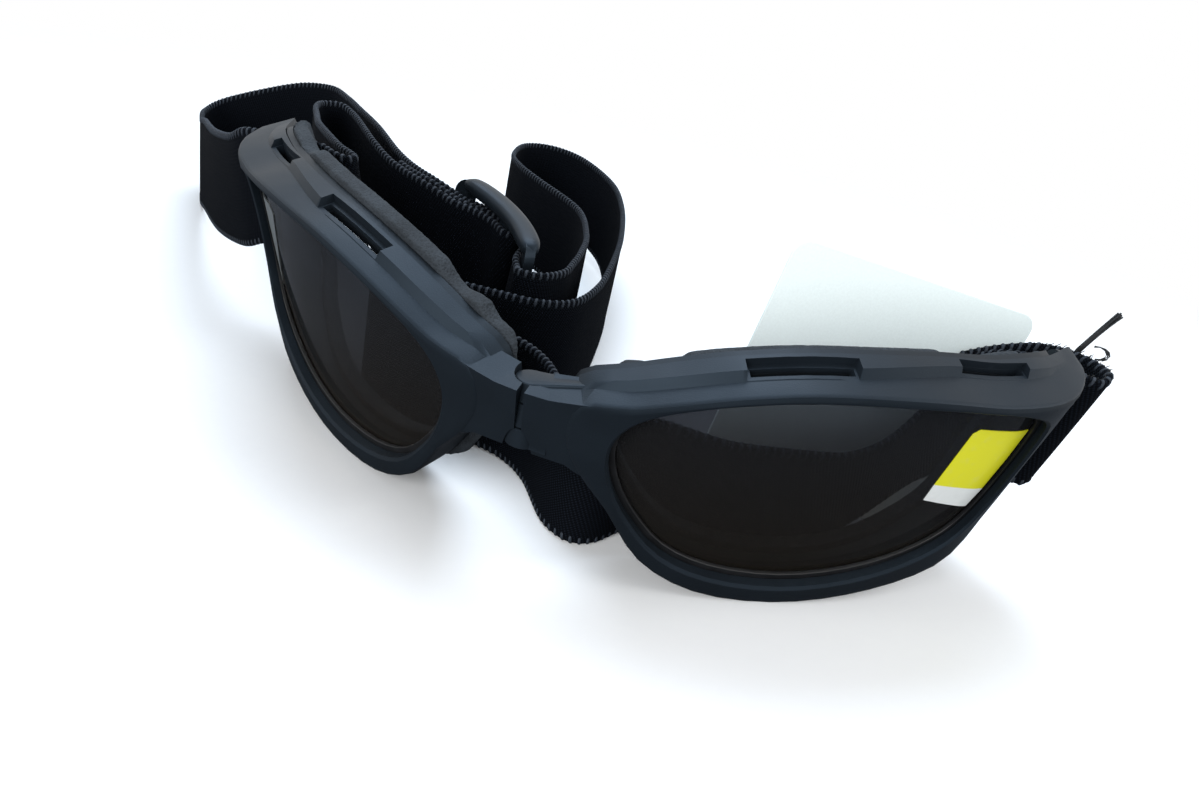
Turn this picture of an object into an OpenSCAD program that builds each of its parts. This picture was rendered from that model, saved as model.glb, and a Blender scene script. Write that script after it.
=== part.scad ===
// Folding goggles: two wraparound lens frames joined by a hinge at the bridge,
// with a foam face seal and an elastic head strap that threads through a slider.
// Origin: on the table below the hinge, midway between the frames.
// X to the wearer's left as seen from the front, Y towards the wearer, Z up.

/* [Half frame] */
// Angle that each half is swept back from straight across
sweep = 23.2; // [21:0.1:25]
// Angle that the lenses lean forward at the top
lean = 15.2; // [12:0.1:17]
// Radius of the front in plan
front_r = 115; // [105:1:130]
// Distance from the bridge at which the front starts to turn back
wrap_start = 70; // [69:0.5:71]
// Radius of the turn back to the temple
wrap_r = 22; // [21.4:0.1:24]
// Gap between the two halves at the bridge
bridge_gap = 1.1; // [0.8:0.1:1.6]
// Height of the bridge block
bridge_h = 10; // [9:0.1:11]
// Thickness of the bridge block, front to back
bridge_t = 6; // [5.6:0.1:6.1]
// Height of the raised brow band
brow_rise = 1.2; // [0.6:0.1:1.6]
// Depth behind the front at which the brow band rises
brow_step = 3.4; // [3:0.1:4]

/* [Lens] */
// Thickness of the front lip that holds the lens
lip_t = 2; // [1.6:0.1:2.4]
// Thickness of the lens gasket
seal_t = 1; // [0.8:0.1:1.3]
// Width of gasket that shows inside the opening
seal_show = 1; // [0.6:0.1:1.5]
// Thickness of the lens
lens_t = 2; // [1.6:0.1:2.2]
// How far the lens reaches behind the lip
lens_grip = 0.9; // [0.7:0.05:1]
// Clearance round the lens and gasket in their pocket
lens_fit = 0.1; // [0.05:0.05:0.2]

/* [Foam seal] */
// Thickness of the plate that carries the foam
carrier_t = 1.2; // [1:0.1:1.5]
// Thickness of the face foam
foam_t = 3; // [2:0.1:3.4]
// Width of foam that reaches inside the opening
foam_in = 1.4; // [0.8:0.1:2]
// Height of the rounded foam lobes beyond the frame
lobe_h = 1.7; // [0.8:0.1:2.2]

/* [Vents] */
// Length of the vent near the nose
vent_a_len = 14.6; // [12:0.1:16]
// Length of the vent near the temple
vent_b_len = 12.6; // [10:0.1:14]
// Length of frame between the two vents
vent_land = 16.6; // [14:0.1:18]
// Front-to-back width of each vent's opening
vent_w = 1.5; // [1:0.1:1.8]

/* [Hinge] */
// Radius of the hinge knuckles
knuckle_r = 2.5; // [2.3:0.1:2.6]
// Radius of the hinge pin
pin_r = 0.9; // [0.7:0.05:1.1]
// Radial clearance between the pin and the turning knuckles
pin_fit = 0.05; // [0.03:0.01:0.09]
// Height of the middle knuckle
knuckle_mid_h = 3.6; // [3:0.1:4.2]
// Height of the lower knuckle
knuckle_low_h = 3; // [2.6:0.1:3.4]
// Gap above and below each knuckle
knuckle_gap = 0.25; // [0.15:0.05:0.4]
// Angle through which the left half can fold before the noses meet
fold = 85; // [60:1:86]

/* [Strap] */
// Width of the webbing
strap_w = 25; // [23:0.5:25.6]
// Thickness of the webbing
strap_t = 1.4; // [1:0.1:1.6]
// Width of the slot in each temple
temple_slot_w = 3.2; // [2.8:0.1:3.6]
// Width of the bar behind each temple slot
temple_bar_w = 3.2; // [2.4:0.1:3.6]

/* [Slider] */
// Length of the slider along the strap
slider_len = 36; // [35:0.5:38]
// Width of the slider's end bars
slider_bar = 3.6; // [3:0.1:4]
// Thickness of the slider
slider_t = 2.2; // [1.8:0.1:2.4]
// Height of the rails above and below the strap
slider_rail = 3; // [2.6:0.1:3.6]
// Clearance above and below the strap in the slider
slider_fit = 0.6; // [0.4:0.1:0.9]
// Radius of the slider's bow in plan
slider_r = 43; // [38:1:60]

/* [Labels] */
// Thickness of the lens stickers
sticker_t = 0.15; // [0.1:0.05:0.25]
// Width of the hang tag
tag_w = 48; // [40:1:52]
// Height of the hang tag
tag_h = 47; // [38:1:47]
// Thickness of the hang tag
tag_t = 0.6; // [0.4:0.1:0.8]

/* [Hidden] */
$fn = 48;
EPS = 0.01;

// Each row is one station round the right rim, seen from the front, in the
// half's own frame: opening edge [u, v], outer edge [u, v], and the depth of
// the frame's back edge at the opening and at the outer edge.
RIM = [
    [10.6, -6, 4, -4.6, 6.2, 6.2],
    [11.3, -1.4, 5, 1.6, 6.4, 6.4],
    [14.2, 2.3, 11.6, 3.8, 7, 7],
    [19, 5.3, 17.8, 6.6, 7.4, 7.4],
    [26, 8.2, 25, 9.6, 7.4, 7.4],
    [34.5, 10.3, 34, 12, 7.4, 7.4],
    [44, 11, 44, 12.8, 7.8, 7.8],
    [54, 10.7, 54, 12.5, 8.6, 8.6],
    [63.5, 9.6, 64, 11.3, 9.2, 9.2],
    [70.5, 8, 73.5, 10.8, 9.6, 9.6],
    [74.4, 5.4, 80.4, 10.2, 10, 8.6],
    [75.7, 0.4, 83.5, 8, 10, 4.6],
    [75.8, -7, 84, -5.5, 10, 2.4],
    [74.7, -14.4, 83.4, -18.8, 9.8, 4.6],
    [71.6, -20.4, 78.8, -25, 9, 8.6],
    [65.3, -24.8, 69.6, -29.4, 8, 8],
    [56, -27.8, 57.4, -32.2, 6.6, 6.6],
    [44, -29.2, 44, -33.4, 6.4, 6.4],
    [31.5, -28, 30, -31.8, 6.4, 6.4],
    [22.6, -24.4, 19.6, -26.2, 6.4, 6.4],
    [16.2, -18, 12.4, -16.8, 6.4, 6.4],
    [12.4, -12, 7, -10.6, 6.2, 6.2],
];
STEPS = 3;

// Stations, counted in rows of RIM, where each foam lobe starts and ends
LOBES = [[1.6, 2.6], [2.9, 7.5], [7.7, 9], [9.2, 10.2], [13.8, 16.4], [16.6, 18.6], [18.8, 20.8]];

// The strap stands on edge. Its rows are [x, y, height of the lower edge, lean], where
// the lean is that of its top towards the front, in degrees. It starts at the sewn end
// by the right temple, and passes through the slot, the slider, the left slot and the
// slider again, where it ends as a loop round the middle bar.
STRAP_END = [
    [59, 58.1, 14.5, 0], [62.4, 59.7, 16, 0], [66, 61.2, 17.5, 2], [70.2, 62, 19, 4],
    [74.4, 61, 20, 8], [77.6, 58, 20.6, 12], [78.8, 54.4, 20.8, 15],
];
STRAP_BACK = [
    [67.4, 52.4, 20, 11], [65.6, 56.2, 18, 4], [62.8, 57.9, 16, 0], [59.6, 56.4, 13.6, 2],
    [56.6, 53.4, 10, 6], [53, 49.4, 5, 12], [48.4, 44, 1.6, 16], [42.6, 39.2, 0, 18],
    [34, 34, 0, 18], [25.4, 30, 0, 18], [19, 28, 0, 14], [14.4, 25.6, 0, 8],
    [10.8, 20.8, 0, 2], [8, 18.8, 0, 0], [5, 18.8, 0, 0], [0.4, 21.8, 0, 0],
    [-7, 31, 0, 0], [-14, 35.6, 0, 0], [-22, 37, 0, 0], [-31, 37.6, 0, 0],
    [-40, 40, 0, 0], [-47.4, 43.6, 0, 0], [-50, 47, 0, 0], [-46, 49.8, 0, 0],
    [-38, 52, 0, 0], [-28, 54, 0, 0], [-18.6, 56.4, 0, 0], [-13.4, 63, 0, 0],
    [-12.8, 76, 0, 0], [-15, 92, 1, 0], [-19.6, 113, 2, 0], [-28, 139, 3, 0],
    [-38, 159, 4, 0], [-54, 176, 5, 0], [-67, 181, 5, 0], [-73, 172, 5, 0],
    [-69, 154, 5, 0], [-61, 142, 5, 0], [-51, 133, 4.6, 0], [-34, 118, 4, 0],
    [-24.4, 98, 4, 0], [-20.6, 84, 4, 0], [-19, 74, 3.8, 0], [-18.4, 66.8, 3.8, 0],
    [-20.6, 60.6, 4, 0], [-24.8, 58.4, 4.2, 0],
];
STRAP_LEFT = [
    [-58.8, 84.2, 10, 0], [-64.4, 86.8, 10.4, 0], [-70, 90.8, 10.6, 0], [-77, 97, 11, 0],
    [-90, 110, 12, 0], [-104, 123.6, 12, 0], [-115, 134, 12, 0], [-126, 142, 12, 0],
    [-138, 143.4, 10, 0], [-148, 138, 6, 0], [-155, 129.6, 2, 0], [-153.6, 120, 0, 0],
    [-146, 110, 0, 0], [-130, 93, 5, 1], [-108, 71, 10, 4], [-90, 55.6, 15, 9],
    [-82, 51, 18.8, 13],
];
STRAP_RETURN = [
    [-68, 51, 20.4, 15], [-65.2, 53, 20, 15], [-61.8, 51.8, 19.6, 15], [-59, 51.4, 19.4, 14],
    [-58.6, 53.8, 19.2, 13], [-61.6, 56.2, 19, 12], [-67, 60, 18.6, 10], [-84, 76, 17, 3],
    [-93, 87, 16, 0], [-101, 98, 15.4, 0], [-104, 105.4, 15, 0], [-101.4, 109.4, 15, 0],
    [-96.4, 107, 14.4, 0], [-90, 101, 14, 0], [-80, 91, 13, 0], [-72, 84.8, 11.6, 0],
    [-66.4, 81.8, 10.8, 0], [-60.4, 80, 10, 0],
];
STRAP_TAIL = [[-59.4, 82.2, 10, 0], [-65, 84.2, 10.4, 0], [-69, 86.2, 10.8, 0]];
STRAP_STEPS = 3;

// A ramp from 0 at a to 1 at b
function smooth(a, b, t) = let (s = max(0, min(1, (t - a) / (b - a)))) s * s * (3 - 2 * s);

// Smooth closed and open curves through rows of numbers
function spline(p0, p1, p2, p3, t) =
    0.5 * (2 * p1 + (p2 - p0) * t + (2 * p0 - 5 * p1 + 4 * p2 - p3) * t * t
    + (3 * p1 - p0 - 3 * p2 + p3) * t * t * t);
function ring_curve(rows, steps) = let (n = len(rows))
    [for (i = [0 : n - 1], k = [0 : steps - 1])
        spline(rows[(i + n - 1) % n], rows[i], rows[(i + 1) % n], rows[(i + 2) % n], k / steps)];
function open_curve(rows, steps) = let (n = len(rows))
    concat([for (i = [0 : n - 2], k = [0 : steps - 1])
        spline(rows[max(i - 1, 0)], rows[i], rows[i + 1], rows[min(i + 2, n - 1)], k / steps)],
    [rows[n - 1]]);

// Front of the half in plan
front_u = 30.3;
front_n = front_r - 4;
wrap_tilt = asin((wrap_start - front_u) / front_r);
wrap_u = wrap_start - wrap_r * sin(wrap_tilt);
wrap_n = front_n - (front_r - wrap_r) * cos(wrap_tilt);
function front(u) = u < wrap_start
    ? front_n - sqrt(front_r * front_r - (u - front_u) * (u - front_u))
    : wrap_n - sqrt(max(0, wrap_r * wrap_r - (u - wrap_u) * (u - wrap_u)));

stations = ring_curve(RIM, STEPS);
count = len(stations);
inner = [for (s = stations) [s[0], s[1]]];
outer = [for (s = stations) [s[2], s[3]]];
back_in = [for (s = stations) s[4]];
back_out = [for (s = stations) s[5]];
function unit(v) = v / norm(v);
function outward(path, i) = let (n = len(path), d = unit(path[(i + 1) % n] - path[(i + n - 1) % n]))
    [-d[1], d[0]];
function grown(path, by) = [for (i = [0 : len(path) - 1]) path[i] + by * outward(path, i)];
function brow(i) = let (r = i / STEPS) brow_rise * smooth(0.6, 2.2, r) * (1 - smooth(8.4, 10, r));
step_back = 2.6;
function step_d(u) = brow_step + step_back * smooth(36, 60, u);

pocket = lens_grip + lens_fit;
lens_d = lip_t + seal_t;
lens_back = lens_d + lens_t;
edge_r = 0.8;
// Gaps between the lens, its gasket and the lip, and behind the frame's back
seal_gap = 0.12;
seat_gap = 0.2;

// Places a half's own frame: u along the half, n into it, v up its lean
half_x = 3.1;
function height(p) = p[1] * sin(lean) + p[2] * cos(lean);
lift = -min([for (q = outer) height([q[0], front(q[0]) + edge_r, q[1]])]);
module in_half() {
    translate([half_x, 0, lift]) rotate([0, 0, sweep]) rotate([lean, 0, 0]) children();
}
function spun(p, a) = [p[0] * cos(a) - p[1] * sin(a), p[0] * sin(a) + p[1] * cos(a), p[2]];
function leaned(p) = [p[0], p[1] * cos(lean) - p[2] * sin(lean), height(p)];
module both(side) {
    if (side == "left") mirror([1, 0, 0]) children();
    else children();
}

// A closed band of quadrilaterals through loops of the same length
function band_faces(loops, size) = [for (i = [0 : loops - 1], k = [0 : size - 1]) each let (
        a = i * size + k, b = i * size + (k + 1) % size,
        c = ((i + 1) % loops) * size + (k + 1) % size, d = ((i + 1) % loops) * size + k)
    [[a, b, c], [a, c, d]]];
function at(q, d) = [q[0], front(q[0]) + d, q[1]];
module band(loops) {
    polyhedron([for (l = loops) each l], band_faces(len(loops), len(loops[0])));
}

// Solid whose section in plan lies behind the front by d or more
module behind(d) {
    translate([0, d]) {
        intersection() {
            translate([front_u, front_n]) circle(front_r, $fn = 180);
            translate([-40, -40]) square([40 + wrap_start, 80]);
        }
        translate([wrap_u, wrap_n]) circle(wrap_r, $fn = 90);
        translate([wrap_u, wrap_n]) square([wrap_r, 40]);
    }
}
module seen_from_front(outline) {
    translate([0, 60, 0]) rotate([90, 0, 0]) linear_extrude(120) polygon(outline);
}
module layer(d, t, outline) {
    intersection() {
        translate([0, 0, -60]) linear_extrude(120) difference() {
            behind(d);
            behind(d + t);
        }
        seen_from_front(outline);
    }
}

// Corners of a rectangle with rounded corners
function round_box(x0, y0, x1, y1, r) = [for (c = [[x1 - r, y0 + r, 270], [x1 - r, y1 - r, 0],
        [x0 + r, y1 - r, 90], [x0 + r, y0 + r, 180]], a = [0 : 15 : 90])
    [c[0] + r * cos(c[2] + a), c[1] + r * sin(c[2] + a)]];

// Rim, brow and temple of one half, as one rounded moulding
seat = grown(inner, pocket);
crest = [for (i = [0 : count - 1]) outer[i] + brow(i) * outward(outer, i)];
module rim() {
    lead = grown(inner, 0.5);
    band([for (i = [0 : count - 1]) let (
            a = inner[i], b = outer[i], up = outward(outer, i),
            c = b - edge_r * up, m = b - 0.3 * edge_r * up,
            rise = min(step_d(b[0]), back_out[i] - 1.2))
        [at(a, lip_t), at(a, 0.5), at(lead[i], 0),
        at(lead[i] + (c - lead[i]) / 3, 0), at(lead[i] + (c - lead[i]) * 2 / 3, 0),
        at(c, 0), at(m, 0.3 * edge_r), at(b, edge_r), at(b, rise),
        at(crest[i], rise + 1), at(crest[i], back_out[i]),
        at(seat[i], back_in[i]), at(seat[i], lip_t)]]);
}

// How far the bridge and the temple tab lie below the rim's skin
skin = 0.3;

// Block that joins the rim to the hinge
bridge_top = 0.3;
module bridge_block() {
    low = bridge_top - bridge_h;
    layer(skin, bridge_t - skin, [[-8, bridge_top], [1, 0.8], [5, 1.7], [8.4, 2.6], [9, -1], [8.8, -6],
        [9.4, -10], [8.6, -11.4], [6.8, -10.8], [5, low - 0.2], [-8, low]]);
}

// Tab behind each temple, with a slot for the strap and a bar beyond it
tab_t = 2.8;
tab_u = wrap_u + wrap_r - tab_t;
slot_n = 17.4;
slot_v = -5.6;
tab_n = slot_n + temple_slot_w + temple_bar_w;
module temple_tab() {
    intersection() {
        translate([0, 0, -60]) linear_extrude(120) intersection() {
            behind(skin);
            translate([tab_u, 6]) square([10, tab_n - 6]);
        }
        rotate([90, 0, 90]) linear_extrude(120)
            polygon(round_box(7, slot_v - 14.2, tab_n, slot_v + 14.2, 3));
    }
}
module temple_slot() {
    tall = strap_w + 0.8;
    translate([75, slot_n, slot_v - tall / 2]) cube([20, temple_slot_w, tall]);
}

// Vents through the brow: a recess in its raised band over a slot
top_edge = [for (i = [2 * STEPS : 9 * STEPS]) outer[i]];
top_back = [for (i = [2 * STEPS : 9 * STEPS]) [outer[i][0], back_out[i]]];
vent_u = 25.4;
vent_b = vent_u + vent_a_len + vent_land;
VENTS = [[vent_u, vent_a_len], [vent_b, vent_b_len]];
function over_top(u0, u1, drop, rise) = concat(
    [for (k = [0 : 4]) let (u = u0 + (u1 - u0) * k / 4) [u, lookup(u, top_edge) - drop]],
    [[u1 + 0.6, lookup(u1, top_edge) + rise], [u0 - 0.6, lookup(u0, top_edge) + rise]]);
module vent_recesses() {
    for (v = VENTS) {
        d = step_d(v[0] + v[1] / 2) + 0.1;
        e = lookup(v[0] + v[1] / 2, top_back) - 0.7;
        layer(d, e - d, over_top(v[0], v[0] + v[1], 0, 4));
    }
}
module vent_slots(drop) {
    for (v = VENTS) {
        d = step_d(v[0] + v[1] / 2) + 0.9;
        layer(d, vent_w, over_top(v[0] + 1, v[0] + v[1] - 0.8, drop, 1));
    }
}

// Hinge: knuckles round an upright pin behind the bridge
hinge_y = 4.3;
hinge_top = lift + 1.2;
hinge_low = hinge_top - bridge_h;
mid_low = hinge_low + knuckle_low_h + knuckle_gap;
high_low = mid_low + knuckle_mid_h + knuckle_gap;
module knuckle(z, h) {
    translate([0, hinge_y, z]) cylinder(r = knuckle_r, h = h);
    translate([0, hinge_y - 0.7 * knuckle_r, z]) cube([knuckle_r + 1.8, 1.4 * knuckle_r, h]);
}
module hinge_clearance() {
    translate([bridge_gap / 2 - 20, -20, -1]) cube([20, 60, 80]);
    translate([0, hinge_y, -1]) rotate([0, 0, 90 - fold / 2])
        translate([0, -knuckle_gap, 0]) cube([60, 40, 80]);
    translate([0, hinge_y, -1]) cylinder(r = knuckle_r + knuckle_gap, h = 80);
}
module frame_half() {
    difference() {
        in_half() {
            rim();
            bridge_block();
            temple_tab();
        }
        in_half() {
            vent_recesses();
            vent_slots(3);
            temple_slot();
        }
        hinge_clearance();
    }
}

module frame_right() {
    color("#3d4249") difference() {
        union() {
            frame_half();
            knuckle(hinge_low, knuckle_low_h);
            knuckle(high_low, hinge_top - high_low);
        }
        translate([0, hinge_y, hinge_low - 1]) cylinder(r = pin_r, h = bridge_h + 0.2);
    }
}
module frame_left() {
    color("#3d4249") difference() {
        union() {
            both("left") frame_half();
            both("left") knuckle(mid_low, knuckle_mid_h);
        }
        translate([0, hinge_y, mid_low - 1]) cylinder(r = pin_r + pin_fit, h = knuckle_mid_h + 2);
    }
}
module hinge_pin() {
    color("#8c9096") translate([0, hinge_y, hinge_low + 0.2])
        cylinder(r = pin_r, h = bridge_h - 1.2);
}

// Lens, cut from a sheet that follows the front
module lens(side) {
    color("#6b5848", 0.6) both(side) in_half() layer(lens_d, lens_t, grown(inner, lens_grip));
}
// Gasket between the lip and the lens
module lens_seal(side) {
    show = grown(inner, -seal_show);
    hold = grown(inner, lens_grip);
    color("#15161a") both(side) in_half() band([for (i = [0 : count - 1])
        [at(show[i], lip_t + seal_gap), at(hold[i], lip_t + seal_gap),
        at(hold[i], lens_d - seal_gap), at(show[i], lens_d - seal_gap)]]);
}

// The plate behind the frame keeps clear of the strap's slot
cover_u = 77.4;
inset = 0.3;
back_seat = [for (i = [0 : count - 1]) at(seat[i], back_in[i])];
back_crest = [for (i = [0 : count - 1]) at(crest[i], back_out[i])];
back_cover = [for (i = [0 : count - 1]) let (a = back_seat[i], b = back_crest[i],
        reach = 1 - inset / norm(b - a))
    a + min(reach, b[0] > cover_u ? (cover_u - a[0]) / (b[0] - a[0]) : 1) * (b - a)];
function deeper(p, d) = [p[0], p[1] + d, p[2]];
module foam_carrier(side) {
    snug = grown(inner, pocket - lens_fit);
    color("#2c3036") both(side) difference() {
        in_half() band([for (i = [0 : count - 1]) let (n = back_seat[i][1] + seat_gap)
            [at(inner[i], lens_back + lens_fit), at(snug[i], lens_back + lens_fit),
            [snug[i][0], n, snug[i][1]], deeper(back_cover[i], seat_gap),
            deeper(back_cover[i], seat_gap + carrier_t), [inner[i][0], n + carrier_t, inner[i][1]]]]);
        in_half() vent_slots(4);
        hinge_clearance();
    }
}

// Face foam: a die-cut pad whose lobes stand beyond the frame
function lobe(i) = let (r = i / STEPS)
    lobe_h * max([for (l = LOBES) smooth(l[0], l[0] + 0.4, r) * (1 - smooth(l[1] - 0.4, l[1], r))]);
module foam_pad(side) {
    lip = grown(inner, -foam_in);
    soft = grown(inner, -foam_in + 0.7);
    d = 2 * seat_gap + carrier_t;
    color("#8b8f92") both(side) difference() {
        in_half() band([for (i = [0 : count - 1]) let (
                up = outward(outer, i), n = back_seat[i][1] + d,
                e = back_cover[i] + lobe(i) * [up[0], 0, up[1]], f = e - 0.7 * [up[0], 0, up[1]])
            [[lip[i][0], n, lip[i][1]], [inner[i][0], n, inner[i][1]],
            deeper(back_cover[i], d), deeper(e, d), deeper(e, d + foam_t * 0.7),
            deeper(f, d + foam_t), [soft[i][0], n + foam_t, soft[i][1]],
            [lip[i][0], n + foam_t * 0.7, lip[i][1]]]]);
        hinge_clearance();
    }
}

// Bowed slider with three bars
slider_at = [-37, 76.5, 19.4];
slider_turn = -38.9;
slider_tilt = 8;
slider_mid = 4;
slider_h = strap_w + 2 * (slider_fit + slider_rail);
slider_out = slider_t / 2 + strap_t / 2 + 0.25;
module strap_slider() {
    half = slider_len / 2;
    win = slider_h / 2 - slider_rail;
    color("#3a3f46") translate(slider_at) rotate([0, 0, slider_turn])
        rotate([0, slider_tilt, 0]) intersection() {
            translate([0, -slider_r, -slider_h]) difference() {
                cylinder(r = slider_r + slider_t / 2, h = 2 * slider_h, $fn = 120);
                translate([0, 0, -1])
                    cylinder(r = slider_r - slider_t / 2, h = 2 * slider_h + 2, $fn = 120);
            }
            rotate([90, 0, 0]) translate([0, 0, -20]) linear_extrude(40) difference() {
                polygon(round_box(-half, -slider_h / 2, half, slider_h / 2, 4));
                for (s = [-1, 1]) translate([s * (half - slider_bar + slider_mid / 2) / 2, 0])
                    square([half - slider_bar - slider_mid / 2, 2 * win], center = true);
            }
        }
}

// Stations of the strap as [centre, direction across the width], in six numbers
function stand(row) = let (l = row[3])
    [row[0], row[1], row[2] + strap_w / 2 * cos(l) + strap_t / 2 * sin(l),
    sign(row[0]) * sin(l) * sin(sweep), -sin(l) * cos(sweep), cos(l)];
// Along the half at its temple: u across the slot, n through the half
function through_slot(side, u, n) = let (
        c = [half_x, 0, lift] + spun(leaned([u, n, slot_v]), sweep),
        w = spun(leaned([0, 0, 1]), sweep))
    [side * c[0], c[1], c[2], side * w[0], w[1], w[2]];
// Along the slider's bow, by a distance from its middle and an offset behind it
function through_slider(along, off) = let (
        a = along / slider_r * 180 / PI, x = (slider_r + off) * sin(a),
        y = (slider_r + off) * cos(a) - slider_r,
        c = slider_at + spun([x * cos(slider_tilt), y, -x * sin(slider_tilt)], slider_turn),
        w = spun([sin(slider_tilt), 0, cos(slider_tilt)], slider_turn))
    [c[0], c[1], c[2], w[0], w[1], w[2]];
slot_mid = slot_n + temple_slot_w / 2;
tab_mid = tab_u + tab_t / 2;
bar_in = slider_len / 2 - slider_bar;
ply = strap_t + 0.5;

// Webbing on edge along its route
module strap() {
    stations_of_strap = open_curve(concat(
        [for (r = STRAP_END) stand(r)],
        [for (u = [6, 3, 0, -2.4]) through_slot(1, tab_mid + u, slot_mid - max(0, 0.3 * (u - 2)))],
        [for (r = STRAP_BACK) stand(r)],
        [through_slider(bar_in + 4.4, -slider_out - 0.1), through_slider(bar_in - 0.2, -slider_out),
        through_slider(8, 1), through_slider(3, slider_out + ply), through_slider(0, slider_out + ply),
        through_slider(-3, slider_out + ply), through_slider(-8, 0.9),
        through_slider(-bar_in + 0.6, -slider_out), through_slider(-bar_in - 3.4, -slider_out)],
        [for (r = STRAP_LEFT) stand(r)],
        [for (u = [5, 2.6, 0, -2.4]) through_slot(-1, tab_mid + u, slot_mid - max(0, 0.6 * (u - 2)))],
        [for (r = STRAP_RETURN) stand(r)],
        [through_slider(-bar_in - 3.4, -slider_out - 2 * ply),
        through_slider(-bar_in + 0.6, -slider_out - 2 * ply), through_slider(-8, -slider_out - 1.4),
        through_slider(-3, -slider_out), through_slider(0, -slider_out),
        through_slider(2.4, -slider_out + 0.3), through_slider(3.4, 0),
        through_slider(2.4, slider_out - 0.3), through_slider(0, slider_out),
        through_slider(-3, slider_out), through_slider(-8, -1.2),
        through_slider(-bar_in + 0.6, -slider_out - ply),
        through_slider(-bar_in - 3.4, -slider_out - ply)],
        [for (r = STRAP_TAIL) stand(r)]), STRAP_STEPS);
    n = len(stations_of_strap);
    mid = [for (r = stations_of_strap) [r[0], r[1], r[2]]];
    loops = [for (i = [0 : n - 1]) let (
            r = stations_of_strap[i],
            t = unit(mid[min(i + 1, n - 1)] - mid[max(i - 1, 0)]),
            s = unit(cross(t, [r[3], r[4], r[5]])) * strap_t / 2,
            w = unit([r[3], r[4], r[5]]) * strap_w / 2,
            c = [r[0], r[1], max(r[2], w[2] + abs(s[2]))])
        [c - w - s, c - w + s, c + w + s, c + w - s]];
    faces = [for (i = [0 : n - 2], k = [0 : 3]) each let (
            a = i * 4 + k, b = i * 4 + (k + 1) % 4, c = b + 4, d = a + 4)
        [[a, b, c], [a, c, d]]];
    color("#26282b") polyhedron([for (l = loops) each l],
        concat([[2, 1, 0], [3, 2, 0]], faces,
        [[4 * n - 3, 4 * n - 2, 4 * n - 1], [4 * n - 4, 4 * n - 3, 4 * n - 1]]));
}

// Bare stickers at the outer end of each lens
STICKER_RIGHT = [[62.6, 3.6], [63.6, 4.4], [74.2, 2.4], [74.4, -4], [73.8, -11], [72.8, -14.8],
    [62.2, -11], [62.2, -8]];
STICKER_LEFT = [[63, 2.2], [64.8, 3.4], [73.4, 2], [74.3, -4], [73.6, -11], [71.6, -16.4], [66.4, -6]];
module lens_sticker(side, outline, tint) {
    color(tint) both(side) in_half() layer(lens_d - sticker_t - EPS, sticker_t, outline);
}

// Hang tag that stands on the table against the strap
tag_corner = [26.5, 45.2, 53.7];
tag_turn = 25;
tag_tip = 8;
module hang_tag() {
    color("#eef3f1") translate(tag_corner) rotate([0, 0, tag_turn]) rotate([0, tag_tip, 0])
        rotate([90, 0, 0]) translate([0, 0, -tag_t / 2]) linear_extrude(tag_t)
            polygon(round_box(0, -tag_h, tag_w, 0, 3));
}

frame_right();
frame_left();
lens("right");  // lens_right
lens("left");  // lens_left
lens_seal("right");  // lens_seal_right
lens_seal("left");  // lens_seal_left
foam_carrier("right");  // foam_carrier_right
foam_carrier("left");  // foam_carrier_left
foam_pad("right");  // foam_pad_right
foam_pad("left");  // foam_pad_left
hinge_pin();
strap();
strap_slider();
lens_sticker("right", STICKER_RIGHT, "#f4f06a");  // lens_sticker_right
lens_sticker("left", STICKER_LEFT, "#d9dbd6");  // lens_sticker_left
hang_tag();
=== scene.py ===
"""Folding eye goggles with a foam face seal and an elastic head strap.

Lengths in this file are millimetres in the part's own frame, and the meshes are in metres.
"""
import logging
import math
import random
from collections.abc import Iterator
from dataclasses import dataclass, field
from enum import Enum
from itertools import accumulate, pairwise

import bmesh
import bpy
import numpy as np
from mathutils import Matrix, Vector, noise


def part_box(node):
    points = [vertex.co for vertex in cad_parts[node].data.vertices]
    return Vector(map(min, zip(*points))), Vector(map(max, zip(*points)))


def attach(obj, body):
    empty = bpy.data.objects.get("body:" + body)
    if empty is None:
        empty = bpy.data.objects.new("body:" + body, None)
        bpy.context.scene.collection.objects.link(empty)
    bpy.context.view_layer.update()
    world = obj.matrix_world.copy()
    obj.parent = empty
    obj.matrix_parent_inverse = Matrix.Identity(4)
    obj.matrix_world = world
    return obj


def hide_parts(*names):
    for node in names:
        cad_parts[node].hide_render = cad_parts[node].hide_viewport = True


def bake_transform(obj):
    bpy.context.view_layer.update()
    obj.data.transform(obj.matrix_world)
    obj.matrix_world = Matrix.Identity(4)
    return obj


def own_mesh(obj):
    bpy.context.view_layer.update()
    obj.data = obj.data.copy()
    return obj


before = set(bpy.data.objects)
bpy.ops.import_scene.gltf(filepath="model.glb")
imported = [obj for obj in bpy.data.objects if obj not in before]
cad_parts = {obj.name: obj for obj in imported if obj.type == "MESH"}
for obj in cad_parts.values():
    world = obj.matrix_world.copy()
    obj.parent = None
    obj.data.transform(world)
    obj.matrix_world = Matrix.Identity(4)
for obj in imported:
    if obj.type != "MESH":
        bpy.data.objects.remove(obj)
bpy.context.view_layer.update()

MM = 0.001
LOG = logging.getLogger("goggles")
WELD = 0.002
FLAT_ANGLE = 0.2
WEAVE = "Weave"
WEAVE_MM = 100.0
OFF_AXIS = (0.31, 0.27, 0.91)
PIN_RISE = 0.2
SOFT_EDGES = (0.35, 0.65)
WIDE_EDGES = (0.3, 0.7)

Colour = tuple[float, float, float]
Point = tuple[float, float, float]
Row = tuple[float, float, float, float]
Socket = bpy.types.NodeSocket
Piece = bpy.types.Object


class Body(Enum):
    """The bodies that pieces ride on."""

    RIGHT = "right_half"
    LEFT = "left_half"
    SLIDER = "slider"


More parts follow.
